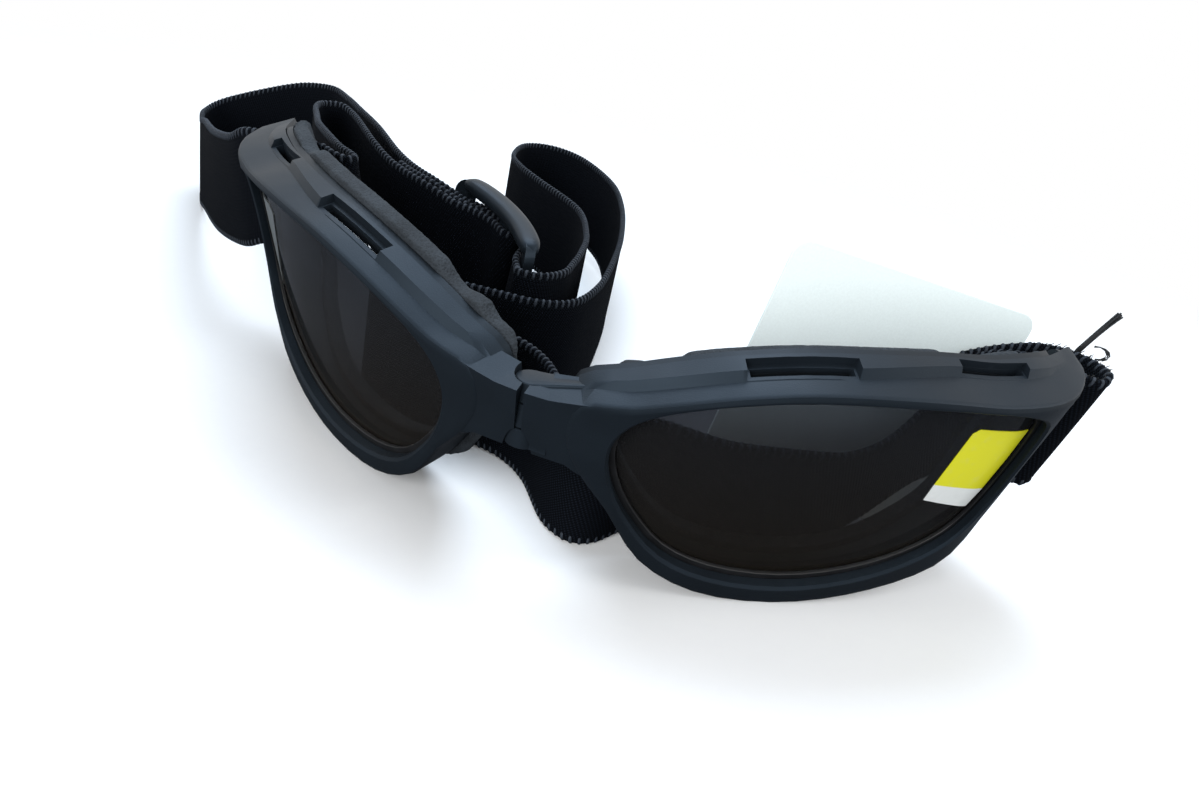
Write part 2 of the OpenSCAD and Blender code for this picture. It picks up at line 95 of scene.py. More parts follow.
def linear(colour: Colour) -> Row:
    """Linear colour with full alpha, from an sRGB colour in 0 to 255."""
    return (*[((c / 255 + 0.055) / 1.055) ** 2.4 if c > 10.3 else c / 255 / 12.92 for c in colour], 1.0)


def shade(colour: Colour, by: float) -> Colour:
    """The colour with each part multiplied."""
    return tuple(min(255.0, c * by) for c in colour)


class Nodes:
    """A node tree, put together socket by socket."""

    def __init__(self, owner: bpy.types.Material | bpy.types.World, surface: str) -> None:
        """Starts from the tree that its owner has.

        Args:
            owner: The material or world.
            surface: Name of the tree's own surface node.
        """
        owner.use_nodes = True
        self.tree = owner.node_tree
        self.surface = self.tree.nodes[surface]

    def put(self, node: bpy.types.Node, socket: str | int, value: object) -> None:
        """Links a socket to another, or sets its value.

        Args:
            node: The node that owns the input.
            socket: The input's name or number.
            value: An output socket to link, or a plain value.
        """
        if isinstance(value, Socket):
            self.tree.links.new(value, node.inputs[socket])
        else:
            node.inputs[socket].default_value = value

    def add(self, kind: str, inputs: dict | None = None, **settings: object) -> bpy.types.Node:
        """Adds a node.

        Args:
            kind: The node's type.
            inputs: Values or sockets for its inputs.
            **settings: Attributes of the node itself.

        Returns:
            The new node.
        """
        node = self.tree.nodes.new(kind)
        for name, value in settings.items():
            setattr(node, name, value)
        for socket, value in (inputs or {}).items():
            self.put(node, socket, value)
        return node

    def math(self, operation: str, a: object, b: object = 0.0) -> Socket:
        """Result of one sum on one or two values."""
        return self.add("ShaderNodeMath", {0: a, 1: b}, operation=operation).outputs[0]


class Shader(Nodes):
    """One node material."""

    def __init__(self, name: str) -> None:
        """Starts a material with its principled surface.

        Args:
            name: The material's name.
        """
        self.material = bpy.data.materials.new(name)
        super().__init__(self.material, "Principled BSDF")

    def place(self) -> Socket:
        """Position on the piece, in millimetres."""
        where = self.add("ShaderNodeTexCoord").outputs["Object"]
        return self.add("ShaderNodeVectorMath", {0: where, "Scale": 1 / MM}, operation="SCALE").outputs[0]

    def speckle(self, at: Socket, size: float, detail: float = 2.0) -> Socket:
        """Soft noise, from 0 to 1.

        Args:
            at: Position in millimetres.
            size: Size of its patches in millimetres.
            detail: Octaves of finer noise.

        Returns:
            The noise value.
        """
        noise_node = self.add("ShaderNodeTexNoise", {"Vector": at, "Scale": 1 / size, "Detail": detail})
        return noise_node.outputs[0]

    def between(self, value: Socket, low: float, high: float,
                start: float = 0.0, end: float = 1.0) -> Socket:
        """Value mapped from low..high to start..end, and held there."""
        return self.add("ShaderNodeMapRange", {
            "Value": value, "From Min": low, "From Max": high, "To Min": start, "To Max": end}).outputs[0]

    def mix(self, factor: object, first: object, second: object) -> Socket:
        """Mix of two colours, each an sRGB colour or a socket."""
        pair = [c if isinstance(c, Socket) else linear(c) for c in (first, second)]
        return self.add("ShaderNodeMix", {0: factor, 6: pair[0], 7: pair[1]}, data_type="RGBA").outputs[2]

    def mottle(self, value: Socket, colour: Colour, dark: float, light: float,
               edges: tuple[float, float] = SOFT_EDGES) -> Socket:
        """The colour, from dark to light times itself as the value crosses the edges."""
        return self.mix(self.between(value, *edges), shade(colour, dark), shade(colour, light))

    def vary(self, value: Socket, middle: float, spread: float) -> Socket:
        """Number that a noise value moves round its middle."""
        return self.between(value, *WIDE_EDGES, middle - spread, middle + spread)

    def bump(self, height: Socket, depth: float, under: Socket | None = None) -> Socket:
        """Normal raised by a height.

        Args:
            height: The height, from 0 to 1.
            depth: Depth of the relief in millimetres.
            under: A normal that this one lies over, if any.

        Returns:
            The raised normal.
        """
        node = self.add("ShaderNodeBump", {"Height": height, "Distance": depth * MM})
        if under is not None:
            self.put(node, "Normal", under)
        return node.outputs[0]

    def finish(self, inputs: dict[str, object]) -> bpy.types.Material:
        """Sets the surface's inputs.

        Args:
            inputs: Values or sockets by the input's name.

        Returns:
            The finished material.
        """
        for socket, value in inputs.items():
            self.put(self.surface, socket, value)
        return self.material


@dataclass(frozen=True)
class MouldedPolymer:
    """Matt moulded polymer with a fine spark grain and slight handling wear."""

    name: str
    colour: Colour
    roughness: float
    grain: float = 0.22
    relief: float = 0.02
    patch: float = 11.0
    wear: float = 0.05
    spark: float = 1.25
    spark_share: float = 0.5
    spark_edges: tuple[float, float] = (0.62, 0.8)
    specular: float = 0.2
    sheen: Colour = (196, 226, 255)

    def material(self) -> bpy.types.Material:
        """Makes the node material.

        Returns:
            The material.
        """
        shader = Shader(self.name)
        at = shader.place()
        broad = shader.speckle(at, self.patch)
        fine = shader.speckle(at, self.grain, 3.0)
        flow = shader.mottle(broad, self.colour, 1 - self.wear, 1 + self.wear)
        sparks = shader.between(fine, *self.spark_edges, 0.0, self.spark_share)
        return shader.finish({
            "Base Color": shader.mix(sparks, flow, shade(self.colour, self.spark)),
            "Roughness": shader.vary(broad, self.roughness, self.wear),
            "Specular IOR Level": self.specular,
            "Specular Tint": linear(self.sheen),
            "Normal": shader.bump(fine, self.relief),
        })


@dataclass(frozen=True)
class SmokedLens:
    """Smoke tinted clear lens; its tint turns darker and warmer towards the bottom, which is painted shade
    on the strap seen through it.
    """

    name: str
    top: Colour
    low: Colour
    floor: float = 6.0
    crown: float = 44.0
    clear: float = 0.95
    index: float = 1.15
    patch: float = 6.0
    haze_edges: tuple[float, float] = (0.45, 0.8)
    haze: tuple[float, float] = (0.02, 0.07)

    def material(self) -> bpy.types.Material:
        """Makes the node material.

        Returns:
            The material.
        """
        shader = Shader(self.name)
        at = shader.place()
        rise = shader.add("ShaderNodeSeparateXYZ", {0: at}).outputs[2]
        return shader.finish({
            # Darker, warmer tint low down: painted shade on what is seen through the lens.
            "Base Color": shader.mix(shader.between(rise, self.floor, self.crown), self.low, self.top),
            "Transmission Weight": self.clear,
            "IOR": self.index,
            "Roughness": shader.between(shader.speckle(at, self.patch, 4.0), *self.haze_edges, *self.haze),
        })


@dataclass(frozen=True)
class Rubber:
    """Black rubber with a dull bloom."""

    name: str
    colour: Colour
    roughness: float
    patch: float = 3.0
    bloom: float = 1.5
    bloom_edges: tuple[float, float] = (0.4, 0.7)
    wear: float = 0.06
    pore: float = 0.2
    relief: float = 0.015

    def material(self) -> bpy.types.Material:
        """Makes the node material.

        Returns:
            The material.
        """
        shader = Shader(self.name)
        at = shader.place()
        bloom = shader.speckle(at, self.patch, 4.0)
        return shader.finish({
            "Base Color": shader.mottle(bloom, self.colour, 1.0, self.bloom, self.bloom_edges),
            "Roughness": shader.vary(bloom, self.roughness, self.wear),
            "Normal": shader.bump(shader.speckle(at, self.pore), self.relief),
        })


@dataclass(frozen=True)
class CellFoam:
    """Closed cell foam, cut through its cells, with painted shade darkening the cut pores."""

    name: str
    colour: Colour
    cell: float = 0.42
    # How dark the painted shade in the pores is, and how much of it shows.
    pore_shade: float = 0.55
    pore_shade_share: float = 0.55
    pore_edges: tuple[float, float] = (0.05, 0.45)
    patch: float = 5.0
    wear: float = 0.1
    relief: float = 0.16
    roughness: float = 0.92
    specular: float = 0.2

    def material(self) -> bpy.types.Material:
        """Makes the node material.

        Returns:
            The material.
        """
        shader = Shader(self.name)
        at = shader.place()
        voronoi = shader.add("ShaderNodeTexVoronoi", {"Vector": at, "Scale": 1 / self.cell})
        cells = voronoi.outputs["Distance"]
        skin = shader.mottle(shader.speckle(at, self.patch, 3.0), self.colour, 1 - self.wear, 1 + self.wear)
        # Darker pores: painted shade in the hollows of the cut cells.
        pore_shade_mask = shader.between(cells, *self.pore_edges, self.pore_shade_share, 0.0)
        return shader.finish({
            "Base Color": shader.mix(pore_shade_mask, skin, shade(self.colour, self.pore_shade)),
            "Roughness": self.roughness,
            "Specular IOR Level": self.specular,
            "Normal": shader.bump(cells, self.relief),
        })


@dataclass(frozen=True)
class KnitElastic:
    """Face of the elastic webbing: fine knit loops in staggered rows."""

    name: str
    dark: Colour
    light: Colour
    loop_along: float = 0.62
    loop_across: float = 0.78
    stagger: float = 0.5
    fuzz: float = 0.12
    fuzz_share: float = 0.5
    lit_edges: tuple[float, float] = (0.75, 1.25)
    rib_relief: float = 0.05
    loop_relief: float = 0.12
    roughness: float = 0.86
    specular: float = 0.04

    def material(self) -> bpy.types.Material:
        """Makes the node material.

        Returns:
            The material.
        """
        shader = Shader(self.name)
        flat = shader.add("ShaderNodeUVMap", uv_map=WEAVE).outputs[0]
        parts = shader.add("ShaderNodeSeparateXYZ", {0: flat}).outputs
        along, across = (shader.math("MULTIPLY", part, WEAVE_MM * 2 * math.pi / loop)
                         for part, loop in ((parts[0], self.loop_along), (parts[1], self.loop_across)))
        drift = shader.math("ADD", along, shader.math("MULTIPLY", across, self.stagger))
        loops = shader.math("MULTIPLY", shader.math("SINE", drift), shader.math("SINE", across))
        height = shader.between(loops, -1.0, 1.0)
        rows = shader.between(shader.math("SINE", across), -1.0, 1.0)
        hairs = shader.math("MULTIPLY", shader.speckle(shader.place(), self.fuzz, 3.0), self.fuzz_share)
        lit = shader.between(shader.math("ADD", height, hairs), *self.lit_edges)
        return shader.finish({
            "Base Color": shader.mix(lit, self.dark, self.light),
            "Roughness": self.roughness,
            "Specular IOR Level": self.specular,
            "Normal": shader.bump(height, self.loop_relief, shader.bump(rows, self.rib_relief)),
        })


@dataclass(frozen=True)
class Thread:
    """Spun polyester thread."""

    name: str
    colour: Colour
    fibre: float = 0.18
    wear: float = 0.3
    relief: float = 0.05
    roughness: float = 0.7
    specular: float = 0.25

    def material(self) -> bpy.types.Material:
        """Makes the node material.

        Returns:
            The material.
        """
        shader = Shader(self.name)
        fibre = shader.speckle(shader.place(), self.fibre, 4.0)
        return shader.finish({
            "Base Color": shader.mottle(fibre, self.colour, 1 - self.wear, 1 + self.wear),
            "Roughness": self.roughness,
            "Specular IOR Level": self.specular,
            "Normal": shader.bump(fibre, self.relief),
        })


@dataclass(frozen=True)
class SatinSteel:
    """Satin steel, drawn along its length."""

    name: str
    colour: Colour
    streak: float = 0.3
    dark: float = 0.92
    roughness: float = 0.33
    wear: float = 0.07

    def material(self) -> bpy.types.Material:
        """Makes the node material.

        Returns:
            The material.
        """
        shader = Shader(self.name)
        streak = shader.speckle(shader.place(), self.streak, 4.0)
        return shader.finish({
            "Base Color": shader.mottle(streak, self.colour, self.dark, 1.0),
            "Metallic": 1.0,
            "Roughness": shader.vary(streak, self.roughness, self.wear),
        })


@dataclass(frozen=True)
class Film:
    """Thin film label in one colour, with a second colour below a sloping border."""

    name: str
    upper: Colour
    lower: Colour
    border: float
    slope: float = 0.0
    metal: float = 0.0
    roughness: float = 0.35
    border_half: float = 0.08
    patch: float = 1.6
    mark_dark: float = 0.8
    mark_share: float = 0.12
    mark_edges: tuple[float, float] = (0.55, 0.8)
    relief: float = 0.02

    def material(self) -> bpy.types.Material:
        """Makes the node material.

        Returns:
            The material.
        """
        shader = Shader(self.name)
        at = shader.place()
        parts = shader.add("ShaderNodeSeparateXYZ", {0: at}).outputs
        rise = shader.math("ADD", parts[2], shader.math("MULTIPLY", parts[0], self.slope))
        above = shader.between(rise, self.border - self.border_half, self.border + self.border_half)
        film = shader.mix(above, self.lower, self.upper)
        press = shader.speckle(at, self.patch, 3.0)
        marks = shader.between(press, *self.mark_edges, 0.0, self.mark_share)
        return shader.finish({
            "Base Color": shader.mix(marks, film, shade(self.lower, self.mark_dark)),
            "Metallic": self.metal,
            "Roughness": self.roughness,
            "Normal": shader.bump(press, self.relief),
        })


@dataclass(frozen=True)
class Card:
    """Coated card with faint fibres."""

    name: str
    colour: Colour
    fibre: float = 0.35
    dark: float = 0.975
    relief: float = 0.01
    roughness: float = 0.55

    def material(self) -> bpy.types.Material:
        """Makes the node material.

        Returns:
            The material.
        """
        shader = Shader(self.name)
        fibre = shader.speckle(shader.place(), self.fibre, 5.0)
        return shader.finish({
            "Base Color": shader.mottle(fibre, self.colour, self.dark, 1.0, WIDE_EDGES),
            "Roughness": self.roughness,
            "Normal": shader.bump(fibre, self.relief),
        })


FRAME_POLYMER = MouldedPolymer("charcoal_polymer", (20, 25, 30), 0.47)
CARRIER_POLYMER = MouldedPolymer("carrier_polymer", (16, 19, 22), 0.5)
SLIDER_POLYMER = MouldedPolymer("slider_polymer", (22, 27, 32), 0.42, grain=0.35, relief=0.01)
LENS_TINT = SmokedLens("smoked_lens", (112, 117, 126), (114, 106, 96))
GASKET_RUBBER = Rubber("gasket_rubber", (9, 10, 12), 0.5)
FACE_FOAM = CellFoam("face_foam", (47, 52, 57))
STRAP_KNIT = KnitElastic("strap_knit", (6, 8, 12), (21, 26, 34))
EDGE_THREAD = Thread("edge_thread", (40, 46, 54))
YARN = Thread("frayed_yarn", (24, 26, 28))
SEAM_THREAD = Thread("seam_thread", (26, 30, 36))
PIN_STEEL = SatinSteel("pin_steel", (176, 180, 186))
YELLOW_FILM = Film("yellow_film", (240, 238, 38), (244, 248, 246), 40.6, 0.241)
SILVER_FILM = Film("silver_film", (172, 179, 179), (224, 229, 228), 22.4, metal=0.9)
TAG_CARD = Card("tag_card", (243, 255, 255))


def mesh_piece(name: str, points: np.ndarray, faces: list, finish: object) -> Piece:
    """Makes a smooth shaded piece.

    Args:
        name: The piece's name.
        points: Corners in millimetres.
        faces: Corner numbers of each face.
        finish: What it is made of.

    Returns:
        The new object, which rides on nothing yet.
    """
    mesh = bpy.data.meshes.new(name)
    mesh.from_pydata((np.asarray(points) * MM).tolist(), [], faces)
    mesh.validate()
    mesh.shade_smooth()
    mesh.materials.append(finish.material())
    piece = bpy.data.objects.new(name, mesh)
    bpy.context.scene.collection.objects.link(piece)
    return piece


def settle(piece: Piece) -> None:
    """Applies all modifiers of a piece to its mesh.

    Args:
        piece: The piece.
    """
    graph = bpy.context.evaluated_depsgraph_get()
    mesh = bpy.data.meshes.new_from_object(piece.evaluated_get(graph), preserve_all_data_layers=True,
                                           depsgraph=graph)
    piece.modifiers.clear()
    piece.data = mesh


def copy_of_node(node: str, name: str, finish: object, slot: str) -> Piece:
    """Starts a new piece from a welded copy of a CAD node's mesh, which it replaces.

    Args:
        node: The CAD node's name.
        name: The new piece's name.
        finish: What it is made of.
        slot: Not used.

    Returns:
        The new object.
    """
    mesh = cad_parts[node].data.copy()
    mesh.materials.clear()
    mesh.materials.append(finish.material())
    work = bmesh.new()
    work.from_mesh(mesh)
    bmesh.ops.remove_doubles(work, verts=work.verts, dist=WELD * MM)
    bmesh.ops.dissolve_limit(work, angle_limit=math.radians(FLAT_ANGLE), verts=work.verts,
                             edges=work.edges)
    for face in work.faces:
        face.material_index = 0
    work.to_mesh(mesh)
    work.free()
    piece = bpy.data.objects.new(name, mesh)
    bpy.context.scene.collection.objects.link(piece)
    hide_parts(node)
    return piece


@dataclass
class Moulding:
    """A moulded piece: a CAD solid whose sharp edges get the radius of the mould."""

    node: str
    name: str
    body: Body
    slot: str
    finish: object
    edge: float = 0.22
    segments: int = 2
    sharp_from: float = 36.0
    crease_margin: float = 6.0
    flat_weight: int = 60

    def build(self) -> Piece:
        """Makes the piece with rounded edges.

        Returns:
            The finished piece.
        """
        piece = copy_of_node(self.node, self.name, self.finish, self.slot)
        round_off = piece.modifiers.new("edges", "BEVEL")
        round_off.width = self.edge * MM
        round_off.segments = self.segments
        round_off.limit_method = "ANGLE"
        round_off.angle_limit = math.radians(self.sharp_from)
        round_off.use_clamp_overlap = True
        settle(piece)
        piece.data.shade_smooth()
        piece.data.set_sharp_from_angle(angle=math.radians(self.sharp_from + self.crease_margin))
        level = piece.modifiers.new("normals", "WEIGHTED_NORMAL")
        level.keep_sharp = True
        level.weight = self.flat_weight
        settle(piece)
        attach(piece, self.body.value)
        return piece


@dataclass
class FoamSeal:
    """Die cut face foam with softened edges and a pitted skin."""

    node: str
    name: str
    body: Body
    sunk: float = 0.0
    voxel: float = 0.42
    pits: float = 0.05
    pit_size: float = 0.7
    soften: float = 0.5
    rounds: int = 3
    crown_from: float = 30.0
    crown_over: float = 10.0

    def build(self) -> Piece:
        """Makes the foam piece, sunk by degrees towards its top.

        Returns:
            The finished piece.
        """
        piece = copy_of_node(self.node, self.name, FACE_FOAM, "foam")
        remesh = piece.modifiers.new("cells", "REMESH")
        remesh.mode = "VOXEL"
        remesh.voxel_size = self.voxel * MM
        soften = piece.modifiers.new("soften", "SMOOTH")
        soften.factor = self.soften
        soften.iterations = self.rounds
        settle(piece)
        mesh = piece.data
        points = np.zeros((len(mesh.vertices), 3))
        normals = np.zeros((len(mesh.vertices), 3))
        mesh.vertices.foreach_get("co", points.reshape(-1))
        mesh.vertex_normals.foreach_get("vector", normals.reshape(-1))
        depth = np.array([noise.noise(Vector(p)) for p in points / (self.pit_size * MM)])
        points -= normals * (self.pits * MM * (0.5 + depth))[:, None]
        crown = np.clip((points[:, 2] / MM - self.crown_from) / self.crown_over, 0, 1)
        points[:, 2] -= self.sunk * MM * crown * crown * (3 - 2 * crown)
        mesh.vertices.foreach_set("co", points.reshape(-1))
        mesh.update()
        mesh.shade_smooth()
        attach(piece, self.body.value)
        return piece


def unit(rows: np.ndarray) -> np.ndarray:
    """The rows, each scaled to length one."""
    return rows / np.linalg.norm(rows, axis=1)[:, None]


@dataclass(frozen=True)
class Sections:
    """Evenly spaced sections of the strap: directions, distances along it, and numbers at the seams."""

    centre: np.ndarray
    along: np.ndarray
    across: np.ndarray
    through: np.ndarray
    at: np.ndarray
    seams: np.ndarray


@dataclass
class StrapRoute:
    """Route of the strap, which stands on edge, from its sewn end to its loop in the slider."""

    width: float = 25.0
    thickness: float = 1.4
    sweep: float = 23.2
    lean: float = 15.2
    half_x: float = 3.1
    slot_height: float = -5.6
    slot_depth: float = 19.0
    tab: float = 83.0
    slider_at: Point = (-37, 76.5, 19.4)
    slider_turn: float = -38.9
    slider_tilt: float = 8.0
    slider_r: float = 43.0
    bar_in: float = 14.4
    ply: float = 1.9
    bar_off: float = 2.05
    steps: int = 10
    clearance: float = 0.03
    lift: float = field(default_factory=lambda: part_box("hinge_pin")[1].z / MM - PIN_RISE)

    # Each row is x and y of the centre line, height of the lower edge, and lean in degrees.
    END = [
        (59, 58.1, 14.5, 0), (62.4, 59.7, 16, 0), (66, 61.2, 17.5, 2), (70.2, 62, 19, 4),
        (74.4, 61, 20, 8), (77.6, 58, 20.6, 12), (78.8, 54.4, 20.8, 15),
    ]
    BACK = [
        (67.4, 52.4, 20, 11), (65.6, 56.2, 18, 4), (62.8, 57.9, 16, 0), (59.6, 56.4, 13.6, 2),
        (56.6, 53.4, 10, 6), (53, 49.4, 5, 12), (48.4, 44, 1.6, 16), (42.6, 39.2, 0, 18),
        (34, 34, 0, 18), (25.4, 30, 0, 18), (19, 28, 0, 14), (14.4, 25.6, 0, 8),
        (10.8, 20.8, 0, 2), (8, 18.8, 0, 0), (5, 18.8, 0, 0), (0.4, 21.8, 0, 0),
        (-7, 31, 0, 0), (-14, 35.6, 0, 0), (-22, 37, 0, 0), (-31, 37.6, 0, 0),
        (-40, 40, 0, 0), (-47.4, 43.6, 0, 0), (-50, 47, 0, 0), (-46, 49.8, 0, 0),
        (-38, 52, 0, 0), (-28, 54, 0, 0), (-18.6, 56.4, 0, 0), (-13.4, 63, 0, 0),
        (-12.8, 76, 0, 0), (-15, 92, 1, 0), (-19.6, 113, 2, 0), (-28, 139, 3, 0),
        (-38, 159, 4, 0), (-54, 176, 5, 0), (-67, 181, 5, 0), (-73, 172, 5, 0),
        (-69, 154, 5, 0), (-61, 142, 5, 0), (-51, 133, 4.6, 0), (-34, 118, 4, 0),
        (-24.4, 98, 4, 0), (-20.6, 84, 4, 0), (-19, 74, 3.8, 0), (-18.4, 66.8, 3.8, 0),
        (-20.6, 60.6, 4, 0), (-24.8, 58.4, 4.2, 0),
    ]
    LEFT = [
        (-58.8, 84.2, 10, 0), (-64.4, 86.8, 10.4, 0), (-70, 90.8, 10.6, 0), (-77, 97, 11, 0),
        (-90, 110, 12, 0), (-104, 123.6, 12, 0), (-115, 134, 12, 0), (-126, 142, 12, 0),
        (-138, 143.4, 10, 0), (-148, 138, 6, 0), (-155, 129.6, 2, 0), (-153.6, 120, 0, 0),
        (-146, 110, 0, 0), (-130, 93, 5, 1), (-108, 71, 10, 4), (-90, 55.6, 15, 9),
        (-82, 51, 18.8, 13),
    ]
    RETURN = [
        (-68, 51, 20.4, 15), (-65.2, 53, 20, 15), (-61.8, 51.8, 19.6, 15), (-59, 51.4, 19.4, 14),
        (-58.6, 53.8, 19.2, 13), (-61.6, 56.2, 19, 12), (-67, 60, 18.6, 10), (-84, 76, 17, 3),
        (-93, 87, 16, 0), (-101, 98, 15.4, 0), (-104, 105.4, 15, 0), (-101.4, 109.4, 15, 0),
        (-96.4, 107, 14.4, 0), (-90, 101, 14, 0), (-80, 91, 13, 0), (-72, 84.8, 11.6, 0),
        (-66.4, 81.8, 10.8, 0), (-60.4, 80, 10, 0),
    ]
    TAIL = [(-59.4, 82.2, 10, 0), (-65, 84.2, 10.4, 0), (-69, 86.2, 10.8, 0)]

    # Distances along a half, from the middle of its slot.
    RIGHT_SLOT = (6, 3, 0, -2.4)
    LEFT_SLOT = (5, 2.6, 0, -2.4)

    def stand(self, row: Row) -> list[float]:
        """Stands one row of a table on edge.

        Args:
            row: The row.

        Returns:
            Its centre and the direction across the width.
        """
        x, y, low, lean = row
        s, c = math.sin(math.radians(lean)), math.cos(math.radians(lean))
        turn = math.radians(self.sweep)
        side = (x > 0) - (x < 0)
        return [x, y, low + self.width / 2 * c + self.thickness / 2 * s,
                side * s * math.sin(turn), -s * math.cos(turn), c]

    @staticmethod
    def spun(p: Point, angle: float) -> Point:
        """A point turned round the upright axis."""
        c, s = math.cos(math.radians(angle)), math.sin(math.radians(angle))
        return p[0] * c - p[1] * s, p[0] * s + p[1] * c, p[2]

    def leaned(self, p: Point) -> Point:
        """A point of a half's own frame, with the half's lean."""
        c, s = math.cos(math.radians(self.lean)), math.sin(math.radians(self.lean))
        return p[0], p[1] * c - p[2] * s, p[1] * s + p[2] * c

    def through_slot(self, side: int, u: float, n: float) -> list[float]:
        """One row in a temple's slot.

        Args:
            side: 1 for the right half, -1 for the left one.
            u: Distance along the half.
            n: Depth into the half.

        Returns:
            Its centre and the direction across the width.
        """
        c = self.spun(self.leaned((u, n, self.slot_height)), self.sweep)
        w = self.spun(self.leaned((0, 0, 1)), self.sweep)
        return [side * (c[0] + self.half_x), c[1], c[2] + self.lift, side * w[0], w[1], w[2]]

    def through_slider(self, along: float, off: float) -> list[float]:
        """One row on the slider's bow.

        Args:
            along: Distance along the bow from its middle.
            off: Distance behind the bow.

        Returns:
            Its centre and the direction across the width.
        """
        a = along / self.slider_r
        x, y = (self.slider_r + off) * math.sin(a), (self.slider_r + off) * math.cos(a) - self.slider_r
        c, s = math.cos(math.radians(self.slider_tilt)), math.sin(math.radians(self.slider_tilt))
        p, w = self.spun((x * c, y, -x * s), self.slider_turn), self.spun((s, 0, c), self.slider_turn)
        return [p[0] + self.slider_at[0], p[1] + self.slider_at[1], p[2] + self.slider_at[2], *w]

    def parts(self) -> list[list[list[float]]]:
        """All rows of the route, part by part, in order.

        Returns:
            The sewn end, right slot, back, first pass of the slider, left side, left slot, way back,
            loop in the slider, and tail.
        """
        out, b, ply = self.bar_off, self.bar_in, self.ply
        # Distances along the slider's bow and behind it.
        first = [(b + 4.4, -out - 0.1), (b - 0.2, -out), (8, 1), (3, out + ply), (0, out + ply),
                 (-3, out + ply), (-8, 0.9), (-b + 0.6, -out), (-b - 3.4, -out)]
        loop = [(-b - 3.4, -out - 2 * ply), (-b + 0.6, -out - 2 * ply), (-8, -out - 1.4),
                (-3, -out), (0, -out), (2.4, -out + 0.3), (3.4, 0), (2.4, out - 0.3), (0, out),
                (-3, out), (-8, -1.2), (-b + 0.6, -out - ply), (-b - 3.4, -out - ply)]
        right, left = ([self.through_slot(sign, self.tab + u, self.slot_depth - max(0, ease * (u - 2)))
                        for u in places]
                       for sign, ease, places in ((1, 0.3, self.RIGHT_SLOT), (-1, 0.6, self.LEFT_SLOT)))
        end, back, side, way, tail = ([self.stand(row) for row in table] for table in
                                      (self.END, self.BACK, self.LEFT, self.RETURN, self.TAIL))
        return [end, right, back, [self.through_slider(*p) for p in first], side, left, way,
                [self.through_slider(*p) for p in loop], tail]

    def seams(self) -> list[int]:
        """Finds the rows at which the strap's stretches begin and end.

        Returns:
            Their numbers, one more than there are stretches.
        """
        _, _, _, first, side, _, way, *_, end = accumulate(map(len, self.parts()), initial=0)
        return [0, first - 4, first + 4, side + 5, way + 10, end - 1]

    def sections(self, spacing: float) -> Sections:
        """Runs a smooth curve through the rows.

        Args:
            spacing: Distance between sections.

        Returns:
            The sections, in order.
        """
        rows = np.array([row for part in self.parts() for row in part])
        steps = np.arange(self.steps)[:, None] / self.steps
        padded = np.vstack([rows[0], rows, rows[-1]])
        parts = []
        for i in range(len(rows) - 1):
            p0, p1, p2, p3 = padded[i:i + 4]
            parts.append(0.5 * (2 * p1 + (p2 - p0) * steps + (2 * p0 - 5 * p1 + 4 * p2 - p3) * steps ** 2
                                + (3 * p1 - p0 - 3 * p2 + p3) * steps ** 3))
        fine = np.vstack(parts + [rows[-1:]])
        reach = np.concatenate([[0], np.cumsum(np.linalg.norm(np.diff(fine[:, :3], axis=0), axis=1))])
        count = int(reach[-1] / spacing)
        at = np.linspace(0, reach[-1], count + 1)
        even = np.stack([np.interp(at, reach, fine[:, k]) for k in range(6)], axis=1)
        across = unit(even[:, 3:])
        along = unit(np.gradient(even[:, :3], axis=0))
        through = unit(np.cross(along, across))
        centre = even[:, :3].copy()
        low = across[:, 2] * self.width / 2 + np.abs(through[:, 2]) * self.thickness / 2
        centre[:, 2] = np.maximum(centre[:, 2], low + self.clearance)
        seams = np.rint(reach[[self.steps * row for row in self.seams()]] / at[1]).astype(int)
        return Sections(centre, along, across, through, at, seams)


def tube_faces(rings: int, sides: int, first: int = 0) -> list[tuple[int, ...]]:
    """Faces of a capped tube of rings.

    Args:
        rings: Number of rings.
        sides: Corners in each ring.
        first: Number of the first corner.

    Returns:
        Corner numbers of each face.
    """
    faces = [(first + i * sides + k, first + i * sides + (k + 1) % sides,
              first + (i + 1) * sides + (k + 1) % sides, first + (i + 1) * sides + k)
             for i in range(rings - 1) for k in range(sides)]
    faces.append(tuple(first + k for k in reversed(range(sides))))
    faces.append(tuple(first + (rings - 1) * sides + k for k in range(sides)))
    return faces


def strand(points: np.ndarray | list, radius: float, sides: int, tip: float = 0.6) -> np.ndarray:
    """Corners of a thin round strand along points, tapered at its far end.

    Args:
        points: Points of its path.
        radius: Its radius.
        sides: Corners round it.
        tip: What is left of the radius at the far end.

    Returns:
        The corners, ring by ring.
    """
    points = np.asarray(points, float)
    along = unit(np.gradient(points, axis=0))
    side = unit(np.cross(along, OFF_AXIS))
    up = np.cross(side, along)
    taper = np.linspace(1.0, tip, len(points))[:, None, None] * radius
    turn = np.arange(sides) * 2 * math.pi / sides
    ring = np.cos(turn)[None, :, None] * side[:, None, :] + np.sin(turn)[None, :, None] * up[:, None, :]
    return (points[:, None, :] + ring * taper).reshape(-1, 3)


@dataclass(frozen=True)
class Stretch:
    """A stretch of the strap, the bodies it lies on, and where it passes from one body to the other."""

    name: str
    bodies: tuple[Body, ...]
    start: Point = (0.0, 0.0, 0.0)
    end: Point = (0.0, 0.0, 0.0)

    def carry(self, piece: Piece) -> None:
        """Lets a piece ride on the one body; with two bodies, only applies the piece's transform to its
        mesh.

        Args:
            piece: The piece.
        """
        if len(self.bodies) == 1:
            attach(piece, self.bodies[0].value)
        else:
            tuple(v * MM for v in self.start)
            tuple(v * MM for v in self.end)
            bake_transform(piece)


